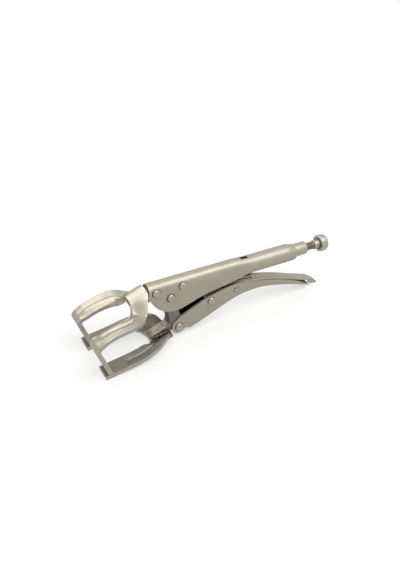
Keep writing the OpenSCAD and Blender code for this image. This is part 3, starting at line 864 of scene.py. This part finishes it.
class CLAMP_OT_welds(bpy.types.Operator):
    """Makes the straw-coloured weld metal on the stem's tongue and under the saddle."""

    bl_idname = "clamp.welds"
    bl_label = "Weld beads"

    def execute(self, context):
        rng = random.Random(11)

        def cap(u, v):
            x, y = mix(-18.4, -1.9, u), mix(-CAP_HALF, CAP_HALF, v)
            lump = 0.5 + 0.27 * math.sin(0.72 * x + 0.6) + 0.23 * math.sin(0.8 * y + 0.4 * x)
            fine = noise.noise(Vector((x * 0.35, y * 0.35, 7.7)))
            rim = min(1, 2.6 * (1 - abs(2 * v - 1))) * min(1, 7 * min(u, 1 - u))
            rise = 0.12 + (0.5 + 1.5 * lump + 0.4 * fine) * rim
            return Vector((x, y, height_at(WELD_TONGUE, x) + rise))

        bm = moved_grid(54, 36, cap)
        face_up(bm)
        wall(bm, 0.9)
        ends = [(x, trough_z(x) + 0.3) for x in (-18.2, -1.2)]
        for side in (-1, 1):
            lumpy_bead(bm, *ends, side, 2.6, 2.3, rng, 0.7)
        bmesh.ops.recalc_face_normals(bm, faces=bm.faces)
        # the side beads take the pads' darker colour: painted shade along the weld's sides
        for face in bm.faces:
            face.material_index = int(abs(face.calc_center_median().y) > CAP_HALF + 0.2)
        add_piece(bm, "stem_welds", "lower_jaw",
                  ["straw_weld", "shaded_pad"], ["lower_jaw_welds"], crease=60)

        bm = bmesh.new()
        ends = [(x, saddle_low(x) - drop) for x, drop in ((-37.3, 1.8), (-26.2, 1.3))]
        for side in (-1, 1):
            lumpy_bead(bm, *ends, side, 2.5, -1.9, rng, -1.3)
        bmesh.ops.recalc_face_normals(bm, faces=bm.faces)
        add_piece(bm, "saddle_welds", "frame",
                  ["straw_weld"], ["upper_jaw_welds"], crease=60)
        return {"FINISHED"}


# ---------------------------------------------------------------- rivets

RIVET_STEPS, PIN_STEPS = 48, 40
SHANK_R = 2.8
HEAD_FOOT = 0.35  # the straight edge below a rivet head's dome
FAR_HEAD_LESS, FAR_HEAD_HEIGHT = 1.0, 0.8


def dome(radius, height, count=9):
    """Half of a domed head on the clamp's side, from its middle out to its foot."""
    base = HALF_W + HEAD_FOOT
    out = [(0.0, HALF_W + height)]
    for k in range(1, count + 1):
        a = math.pi / 2 * k / count
        out.append((radius * math.sin(a) ** 0.86, base + (height - HEAD_FOOT) * math.cos(a)))
    return out + [(radius, HALF_W)]


def shade_ring(bm, at, side, radius, height, chamfer, steps):
    """A thin near-black disc, painted shade, that shows as a line around a rivet's head."""
    lathe(bm, [(0, 0), (radius, 0), (radius - chamfer, height), (0, height)],
          axis_at=(at[0], side * HALF_W, at[1]), axis=(0, side, 0), steps=steps, material=1)


def rivet(bm, at, head, height, ring):
    """A rivet across the clamp: a domed head on one side, a flatter set one on the other, each
    ringed with painted shade.
    """
    far = dome(head - FAR_HEAD_LESS, FAR_HEAD_HEIGHT)
    near = [(r, -d) for r, d in reversed(dome(head, height))]
    lathe(bm, far + [(SHANK_R, HALF_W), (SHANK_R, -HALF_W)] + near,
          axis_at=(at[0], 0, at[1]), axis=(0, 1, 0), steps=RIVET_STEPS)
    for side, reach in ((-1, ring), (1, ring - 1.2)):
        shade_ring(bm, at, side, reach, 0.16, 0.12, RIVET_STEPS)


class CLAMP_OT_rivets(bpy.types.Operator):
    """Makes the domed rivets and the peened release pin."""

    bl_idname = "clamp.rivets"
    bl_label = "Rivets"

    def execute(self, context):
        steels = ["polished_rivet", "painted_shade_black"]
        for name, body, node, places, head, height, ring in (
            ("jaw_rivet_pair", "frame", "jaw_rivets", (FRONT_RIVET, REAR_RIVET), 4.1, 2.2, 4.4),
            ("jaw_pivot", "frame", "pivot_rivet", ((0, 0),), 4.0, 2.4, 4.5),
            ("stem_pivot", "lever", "lever_pivot_rivet", (LEVER_PIVOT,), 4.1, 2.2, 4.45),
            ("link_pivot", "lever", "link_rivet", (LINK_PIVOT,), 4.1, 2.2, 4.45),
        ):
            bm = bmesh.new()
            for at in places:
                rivet(bm, at, head, height, ring)
            add_piece(bm, name, body, steels, [node])

        bm = bmesh.new()
        face = [(r, HALF_W + d) for r, d in (
            (0.0, 0.2), (0.8, 0.2), (1.5, 0.6), (2.2, 0.6), (2.6, 0.3), (2.6, 0))]
        lathe(bm, face + [(1.9, HALF_W), (1.9, -HALF_W)] + [(r, -d) for r, d in reversed(face)],
              axis_at=(RELEASE_PIVOT[0], 0, RELEASE_PIVOT[1]), axis=(0, 1, 0), steps=PIN_STEPS)
        # a ring of painted shade round each end of the pin
        for side in (-1, 1):
            shade_ring(bm, RELEASE_PIVOT, side, 3.05, 0.12, 0.1, PIN_STEPS)
        add_piece(bm, "release_lever_pin", "lever", steels, ["release_pin"])
        return {"FINISHED"}


# ---------------------------------------------------------------- levers

LEVER_FOLD_R = 2.6
LEVER_LOBE_R = 7.6
WALL_SHARE, FOLD_SHARE = 0.5, 0.75  # the lever's half section: the wall, then the fold


def folded_channel(top, low, web_from):
    """A folded channel whose wall runs from line top to line low, where its web is.

    The web starts at the share web_from of the channel's length.
    """
    top, low = Path(top), Path(low)

    def place(u, v):
        a, b = top.at(u), low.at(u)
        span = (a - b).length
        n = (a - b) / span if span > 1e-6 else Vector((0, 1))
        r = min(LEVER_FOLD_R, 0.9 * span) if u > web_from else min(0.02, span)
        if v < WALL_SHARE:
            p = a.lerp(b + n * r, v / WALL_SHARE)
            return Vector((p.x, HALF_W, p.y))
        if v < FOLD_SHARE:
            f = (v - WALL_SHARE) / (FOLD_SHARE - WALL_SHARE) * math.pi / 2
            p = b + n * (r - r * math.sin(f))
            return Vector((p.x, HALF_W - r + r * math.cos(f), p.y))
        return Vector((b.x, (HALF_W - r) * (1 - v) / (1 - FOLD_SHARE), b.y))

    bm = moved_grid(130, 24, place, lambda u, v: u <= web_from and v > WALL_SHARE)
    mirror_half(bm)
    bmesh.ops.recalc_face_normals(bm, faces=bm.faces)
    walls = [f for f in bm.faces if abs(f.normal.y) > 0.7]
    if sum(f.normal.y * f.calc_center_median().y for f in walls) < 0:
        bmesh.ops.reverse_faces(bm, faces=bm.faces)
    wall(bm, SHEET_T)
    return bm


class CLAMP_OT_lever(bpy.types.Operator):
    """Makes the folded lever with its round lobe and curved tail."""

    bl_idname = "clamp.lever"
    bl_label = "Lever"

    def execute(self, context):
        top = arc(LEVER_PIVOT, LEVER_LOBE_R, 180, 150, 5)
        top += arc(LEVER_PIVOT, LEVER_LOBE_R + 0.5, 140, 127, 3)
        top += spline([
            (11.2, -26.6), (27.5, -18.8), (41, -13), (57.8, -8.7), (71.8, -7), (82, -8.2),
            (95.3, -11.3), (123.4, -19.2), (144, -27.2), (157, -33.6), (161.5, -36.4),
        ], 5)
        low = arc(LEVER_PIVOT, LEVER_LOBE_R, 180, 296, 14)
        lobe_end = len(low)
        low += [(15.0, -43.9), (16.6, -43.3), (18.6, -43.8)]
        low += spline([
            (22.4, -45.2), (30, -42.4), (44.1, -36.4), (63.3, -27.8), (76, -23.6),
            (88.5, -21.8), (104.4, -22), (125.1, -26.5), (145, -32.4), (161.5, -38.4),
        ], 5)
        # the lobe has no web: it starts in the notch behind the lobe
        line = Path(low)
        bm = folded_channel(top, low, line.reach[lobe_end + 1] / line.reach[-1])
        round_edges(bm, 0.3, angle=55)
        piece = add_piece(bm, "lever_channel", "lever",
                          ["satin_nickel", "painted_shade_black"], ["lever"])
        # the channel's inside is near black, painted shade, from a little above its web
        web = [p for p in low if p[0] > 18]
        for face, at, normal in clamp_faces(piece):
            if (abs(at.y) < HALF_W - SHEET_T + 0.1 and normal.y * at.y <= 0.02
                    and at.z > height_at(web, at.x) + 1.2):
                face.material_index = 1
        return {"FINISHED"}


class CLAMP_OT_release_lever(bpy.types.Operator):
    """Makes the folded release lever that nests in the lever."""

    bl_idname = "clamp.release_lever"
    bl_label = "Release lever"

    def execute(self, context):
        web = spline([
            (66.6, -12), (72.2, -9.8), (80, -9.4), (90, -10.6), (99, -11.6), (109, -13.6),
            (125, -18), (145.7, -25.3), (160, -30.6), (167.4, -33.8), (172.4, -37.2),
            (176, -40.4),
        ], 6)
        edge = spline([
            (57.4, -20.6), (66.6, -18.2), (72.2, -18.4), (80, -17.4), (90, -16.2),
            (100, -15.8), (109, -17.2), (125, -20.9), (145.7, -27.6), (157, -31.5),
            (161, -32.4), (163.5, -33.6), (166, -37.6), (168, -39.3), (171, -40.6), (176, -42.0),
        ], 6)
        lip_x, half, lip_half, tip_less = 161.0, 5.1, 3.7, 0.5
        fold_r, lip_fold_r = 1.9, 0.6
        web_share, fold_share = 0.35, 0.6
        notch_end, notch_half = 94, 0.9
        start, end = web[0].x, web[-1].x

        def place(u, v):
            x = mix(start, end, u)
            z = height_at(web, x)
            slope = (height_at(web, x + 0.6) - height_at(web, x - 0.6)) / 1.2
            n = Vector((slope, -1)).normalized()
            wide = mix(half, lip_half, ease(x, lip_x + 1, lip_x + 8))
            wide -= tip_less * ease(x, lip_x + 9, end)
            lean = 1 - ease(x, 86, 99)
            drop = max(0.02, z - height_at(edge, x))
            r = min(mix(fold_r, lip_fold_r, ease(x, lip_x - 2, lip_x + 3)), 0.8 * drop)
            flat = wide - lean - r
            if v < web_share:
                return Vector((x, flat * v / web_share, z))
            if v < fold_share:
                f = (v - web_share) / (fold_share - web_share) * math.pi / 2
                down = n * (r - r * math.cos(f))
                return Vector((x + down.x, flat + r * math.sin(f), z + down.y))
            t = (v - fold_share) / (1 - fold_share)
            depth = mix(r, drop, t)
            return Vector((x + n.x * depth, wide - lean * (1 - t), z + n.y * depth))

        bm = moved_grid(96, 26, place)
        middles = ((f, f.calc_center_median()) for f in bm.faces)
        notch = [f for f, at in middles if at.x < notch_end and at.y < notch_half]
        bmesh.ops.delete(bm, geom=notch, context="FACES")
        mirror_half(bm, 0.01)
        face_up(bm)
        wall(bm, 1.4)
        round_edges(bm, 0.25, angle=55)
        add_piece(bm, "release_strip", "release_lever",
                  ["satin_nickel"], ["release_lever"])
        return {"FINISHED"}


class CLAMP_OT_toggle(bpy.types.Operator):
    """Makes the toggle link and the coil spring inside the housing."""

    bl_idname = "clamp.toggle"
    bl_label = "Toggle link and spring"

    def execute(self, context):
        self.make_link()
        self.make_spring()
        return {"FINISHED"}

    def make_link(self):
        """A flat bar with a wider eye, from its pivot to the tip that meets the screw."""
        eye_r, eye_half, tip_r, tip_half = 5.0, 4.8, 3.4, 3.26
        start = Vector(LINK_PIVOT)
        run = Vector((92.5, AXIS_Z)) - start
        reach, along = run.length, run.normalized()
        up = Vector((-along.y, along.x))

        def side_view(points):
            return [tuple(start + along * a + up * b) for a, b in points]

        eye = arc((0, 0), eye_r, 90, 270, 15)
        tip = arc((reach, 0), tip_r, -90, 90, 15)
        bm = bmesh.new()
        plate(bm, side_view(eye + [(10, -4.4), (15.5, -3.7), (15.5, 3.7), (10, 4.4)]), eye_half)
        plate(bm, side_view([(10, -3.6), (reach - 10, -3.2)] + tip
                            + [(reach - 10, 3.2), (10, 3.6)]), tip_half)
        round_edges(bm, 0.35, angle=60)
        add_piece(bm, "toggle_bar", "link", ["dark_stem"], ["toggle_link"])

    def make_spring(self):
        """A coil from the stem's lug to its hook in the housing's slot."""
        lug, hook = Vector((13.2, -7.6)), Vector((80.8, 14.3))
        length = (hook - lug).length
        coil_from, coil_to, coil_r, wire = 6.0, length - 19.0, 2.6, 0.5
        turns, per_turn = 30, 14
        bm = bmesh.new()
        ring = bmesh.ops.create_circle(bm, cap_ends=True, radius=wire, segments=8)["verts"]
        upright = Matrix.Rotation(math.pi / 2, 3, "X")
        bmesh.ops.rotate(bm, verts=ring, cent=(0, 0, 0), matrix=upright)
        bmesh.ops.translate(bm, verts=ring, vec=(coil_r, 0, coil_from))
        steps = turns * per_turn
        bmesh.ops.spin(
            bm, geom=bm.faces[:], cent=(0, 0, 0), axis=(0, 0, 1),
            dvec=(0, 0, (coil_to - coil_from) / steps), angle=turns * 2 * math.pi,
            steps=steps, use_merge=False,
        )
        for start, end in (
            ((coil_r, 0, coil_from), (2.0, 0, 0.0)), ((2.0, 0, 0.2), (-2.0, 0, 0.2)),
            ((coil_r, 0, coil_to), (0, 0, coil_to + 3)), ((0, 0, coil_to + 3), (0, 0, length)),
        ):
            straight_wire(bm, start, end, wire)
        line = (hook - lug).normalized()
        side, run = Vector((0, 1, 0)), Vector((line.x, 0, line.y))
        tilt = Matrix((side, run.cross(side), run)).transposed().to_4x4()
        bmesh.ops.transform(
            bm, matrix=Matrix.Translation((lug.x, 0, lug.y)) @ tilt, verts=bm.verts)
        bmesh.ops.recalc_face_normals(bm, faces=bm.faces)
        add_piece(bm, "return_spring", "frame", ["spring_wire"], ["spring"],
                  crease=60)


def straight_wire(bm, start, end, radius):
    """A round wire between two points."""
    start, end = Vector(start), Vector(end)
    run = end - start
    made = bmesh.ops.create_cone(
        bm, cap_ends=True, segments=10, radius1=radius, radius2=radius, depth=run.length)
    turn = Vector((0, 0, 1)).rotation_difference(run).to_matrix().to_4x4()
    bmesh.ops.transform(
        bm, matrix=Matrix.Translation((start + end) / 2) @ turn, verts=made["verts"])


# ---------------------------------------------------------------- screw end

class CLAMP_OT_bushing(bpy.types.Operator):
    """Makes the smooth bushing behind the housing."""

    bl_idname = "clamp.bushing"
    bl_label = "Bushing"

    def execute(self, context):
        bm = bmesh.new()
        lathe(bm, [
            (4.06, -15), (7.0, -15), (7.06, -14.6), (7.06, 0.0), (6.55, 0.35), (6.6, 0.9),
            (6.6, 12.8), (6.42, 13.5), (5.9, 14.0), (4.9, 14.0), (4.4, 13.5), (4.06, 13.1),
            (4.06, -15),
        ], axis_at=(HOUSING_END, 0, AXIS_Z), axis=(1, 0, 0), steps=72)
        add_piece(bm, "screw_bushing_sleeve", "frame",
                  ["satin_nickel"], ["screw_bushing"])
        return {"FINISHED"}


class CLAMP_OT_screw(bpy.types.Operator):
    """Makes the adjusting screw with its rolled thread."""

    bl_idname = "clamp.screw"
    bl_label = "Adjusting screw"

    def execute(self, context):
        pitch, crest, root = 1.5, 3.98, 3.2
        pin_r, pin_length = 2.48, 12  # the plain end inside the knob
        start, end = 98.5, KNOB_X - 6.02
        length = end - start
        bm = bmesh.new()
        lathe(bm, [(0, 0), (root - 0.8, 0), (root, 0.9), (root, length - 0.8),
                   (crest - 0.2, length - 0.5), (crest - 0.2, length - 0.05),
                   (pin_r, length - 0.05), (pin_r, length + pin_length),
                   (0, length + pin_length)], steps=48)
        turns, per_turn = int((length - 2.6) / pitch), 26
        ridge = [(root - 0.25, 0.0), (root, 0.12), (crest - 0.06, pitch * 0.44),
                 (crest - 0.06, pitch * 0.56), (root, pitch - 0.12), (root - 0.25, pitch)]
        face = bm.faces.new([bm.verts.new((r, 0, d + 1.2)) for r, d in ridge])
        bmesh.ops.spin(
            bm, geom=[face], cent=(0, 0, 0), axis=(0, 0, 1), dvec=(0, 0, pitch / per_turn),
            angle=turns * 2 * math.pi, steps=turns * per_turn, use_merge=False,
        )
        bmesh.ops.recalc_face_normals(bm, faces=bm.faces)
        bmesh.ops.transform(
            bm, matrix=Matrix.Translation((start, 0, AXIS_Z)) @ Matrix.Rotation(
                math.pi / 2, 4, "Y"), verts=bm.verts)
        add_piece(bm, "screw_thread", "screw",
                  ["thread_steel"], ["adjusting_screw"], crease=28)
        return {"FINISHED"}


class CLAMP_OT_knob(bpy.types.Operator):
    """Makes the adjusting knob with its neck and grooved front face."""

    bl_idname = "clamp.knob"
    bl_label = "Knob"

    def execute(self, context):
        bore_depth = 13.4
        bm = bmesh.new()
        lathe(bm, [
            (2.54, -6.0), (4.4, -6.0), (4.75, -5.6), (4.75, 1.0), (4.85, 1.5), (5.2, 1.7),
            (5.55, 1.5), (5.7, 0.7), (6.0, 0.25), (6.8, 0.0), (8.1, 0.2), (8.5, 0.8),
            (8.5, 5.6), (8.34, 6.6), (7.85, 7.6), (7.0, 8.3), (6.0, 8.6), (2.6, 8.6), (0, 8.6),
        ], axis_at=(KNOB_X, 0, AXIS_Z), axis=(1, 0, 0), steps=80)
        # the bore for the screw's plain end
        bmesh.ops.extrude_edge_only(bm, edges=[e for e in bm.edges if e.is_boundary])
        end = [e for e in bm.edges if e.is_boundary]
        verts = list({v for e in end for v in e.verts})
        bmesh.ops.translate(bm, verts=verts, vec=(bore_depth, 0, 0))
        bmesh.ops.holes_fill(bm, edges=end, sides=0)
        bmesh.ops.recalc_face_normals(bm, faces=bm.faces)
        add_piece(bm, "adjusting_knob", "knob", ["knob_nickel"], ["knob"])
        return {"FINISHED"}


# ---------------------------------------------------------------- stage

# the camera's right, up and back, and its place, in the clamp's own frame
LENS_TURN = Matrix((
    (0.87297775, -0.48551173, 0.04677827),
    (0.26118692, 0.5463051, 0.79582167),
    (-0.41193596, -0.68251674, 0.60372151),
)).transposed()
LENS_AT = (-253.226, -477.651, 420.950)
SENSOR_HEIGHT = 36
FLOOR_SIZE, FLOOR_GREY = 6, 0.40
# metres from the clamp over which the floor's glow grows, and from what to what
GLOW_RUN, GLOW = (0.3, 1.3), (0.58, 0.86)


def panel(name, place, aim, size, power):
    """Adds a soft light at place, of size across and along, turned to aim."""
    light = bpy.data.lights.new(name, "AREA")
    light.shape = "RECTANGLE"
    light.size, light.size_y = size
    light.energy = power
    lamp = bpy.data.objects.new(name, light)
    lamp.location = place
    lamp.rotation_euler = (Vector(aim) - Vector(place)).to_track_quat("-Z", "Y").to_euler()
    bpy.context.scene.collection.objects.link(lamp)


def seen_directly(tree):
    """One for rays from the camera, from metal and through glass, else nothing."""
    rays = add_node(tree, "LightPath")
    either = rays.outputs["Is Camera Ray"]
    for kind in ("Is Glossy Ray", "Is Transmission Ray"):
        both = add_node(tree, "Math", operation="MAXIMUM")
        tree.links.new(either, both.inputs[0])
        tree.links.new(rays.outputs[kind], both.inputs[1])
        either = both.outputs["Value"]
    return either


def pale_floor():
    """A matt floor that keeps shadows, and runs up to white away from the clamp."""
    surface = bpy.data.materials.new("pale_floor")
    surface.use_nodes = True
    tree = surface.node_tree
    link = tree.links.new
    tree.nodes.clear()
    out = add_node(tree, "OutputMaterial")
    matt = add_node(tree, "BsdfDiffuse", {"Color": (FLOOR_GREY, FLOOR_GREY, FLOOR_GREY, 1)})
    away = add_node(tree, "VectorMath", operation="LENGTH")
    link(add_node(tree, "TexCoord").outputs["Object"], away.inputs[0])
    seen = add_node(tree, "Math", operation="MULTIPLY")
    link(seen_directly(tree), seen.inputs[0])
    link(ranged(tree, away.outputs["Value"], GLOW_RUN, GLOW), seen.inputs[1])
    glow = add_node(tree, "Emission")
    link(seen.outputs["Value"], glow.inputs["Strength"])
    both = add_node(tree, "AddShader")
    link(matt.outputs[0], both.inputs[0])
    link(glow.outputs[0], both.inputs[1])
    link(both.outputs[0], out.inputs["Surface"])
    return surface


def pale_room(sky):
    """A world that lights the clamp with strength sky, and is white where it is seen."""
    world = bpy.data.worlds.new("studio_world")
    world.use_nodes = True
    tree = world.node_tree
    tree.nodes.clear()
    out = add_node(tree, "OutputWorld")
    choose = add_node(tree, "MixShader")
    tree.links.new(seen_directly(tree), choose.inputs[0])
    for socket, strength in ((1, sky), (2, 1.0)):
        light = add_node(tree, "Background", {"Color": (1, 1, 1, 1), "Strength": strength})
        tree.links.new(light.outputs[0], choose.inputs[socket])
    tree.links.new(choose.outputs[0], out.inputs["Surface"])
    return world


class CLAMP_OT_stage(bpy.types.Operator):
    """Sets the pale floor, the soft light and the camera."""

    bl_idname = "clamp.stage"
    bl_label = "Stage"

    def execute(self, context):
        scene = context.scene
        settings = scene.clamp_stage
        scene.view_settings.view_transform = "Standard"

        bpy.ops.mesh.primitive_plane_add(size=FLOOR_SIZE, location=(0, 0, 0))
        floor = context.object
        floor.name = "studio_floor"
        floor.data.materials.append(pale_floor())

        scene.world = pale_room(settings.sky)
        panel("key_light", (0.25, -0.30, 0.83), (0.25, 0, 0.03), (1.3, 0.6), settings.key)
        panel("back_light", (-0.28, 0.5, 0.83), (-0.28, 0, 0.03), (0.6, 0.85), settings.back)

        lens = bpy.data.cameras.new("view")
        lens.sensor_fit = "VERTICAL"
        lens.sensor_height = SENSOR_HEIGHT
        lens.lens = settings.lens
        lens.clip_start = 0.01
        camera = bpy.data.objects.new("view", lens)
        turned = (STANCE_TURN @ LENS_TURN).to_4x4()
        camera.matrix_world = Matrix.Translation(STANCE @ Vector(LENS_AT)) @ turned
        scene.collection.objects.link(camera)
        scene.camera = camera
        return {"FINISHED"}


# ---------------------------------------------------------------- add-on

STEPS = (
    CLAMP_OT_housing, CLAMP_OT_upper_jaw, CLAMP_OT_lower_jaw, CLAMP_OT_stems,
    CLAMP_OT_welds, CLAMP_OT_rivets, CLAMP_OT_lever, CLAMP_OT_release_lever,
    CLAMP_OT_toggle, CLAMP_OT_bushing, CLAMP_OT_screw, CLAMP_OT_knob, CLAMP_OT_stage,
)


class CLAMP_PT_panel(bpy.types.Panel):
    """Lists the settings and the pieces of the clamp."""

    bl_idname = "CLAMP_PT_panel"
    bl_label = "Locking clamp"
    bl_space_type = "VIEW_3D"
    bl_region_type = "UI"
    bl_category = "Clamp"

    def draw(self, context):
        layout = self.layout
        for settings in (context.scene.clamp_finish, context.scene.clamp_stage):
            for name in settings.__annotations__:
                layout.prop(settings, name)
        for step in STEPS:
            layout.operator(step.bl_idname)


CLASSES = (ClampFinish, ClampStage) + STEPS + (CLAMP_PT_panel,)


def register():
    """Adds the settings, the operators and the panel to Blender."""
    for cls in CLASSES:
        bpy.utils.register_class(cls)
    bpy.types.Scene.clamp_finish = PointerProperty(type=ClampFinish)
    bpy.types.Scene.clamp_stage = PointerProperty(type=ClampStage)


def unregister():
    """Takes them out again."""
    del bpy.types.Scene.clamp_stage
    del bpy.types.Scene.clamp_finish
    for cls in reversed(CLASSES):
        bpy.utils.unregister_class(cls)


def main():
    """Makes every piece and the stage."""
    register()
    bpy.ops.clamp.housing()
    bpy.ops.clamp.upper_jaw()
    bpy.ops.clamp.lower_jaw()
    bpy.ops.clamp.stems()
    bpy.ops.clamp.welds()
    bpy.ops.clamp.rivets()
    bpy.ops.clamp.lever()
    bpy.ops.clamp.release_lever()
    bpy.ops.clamp.toggle()
    bpy.ops.clamp.bushing()
    bpy.ops.clamp.screw()
    bpy.ops.clamp.knob()
    bpy.ops.clamp.stage()


if __name__ == "__main__":
    main()
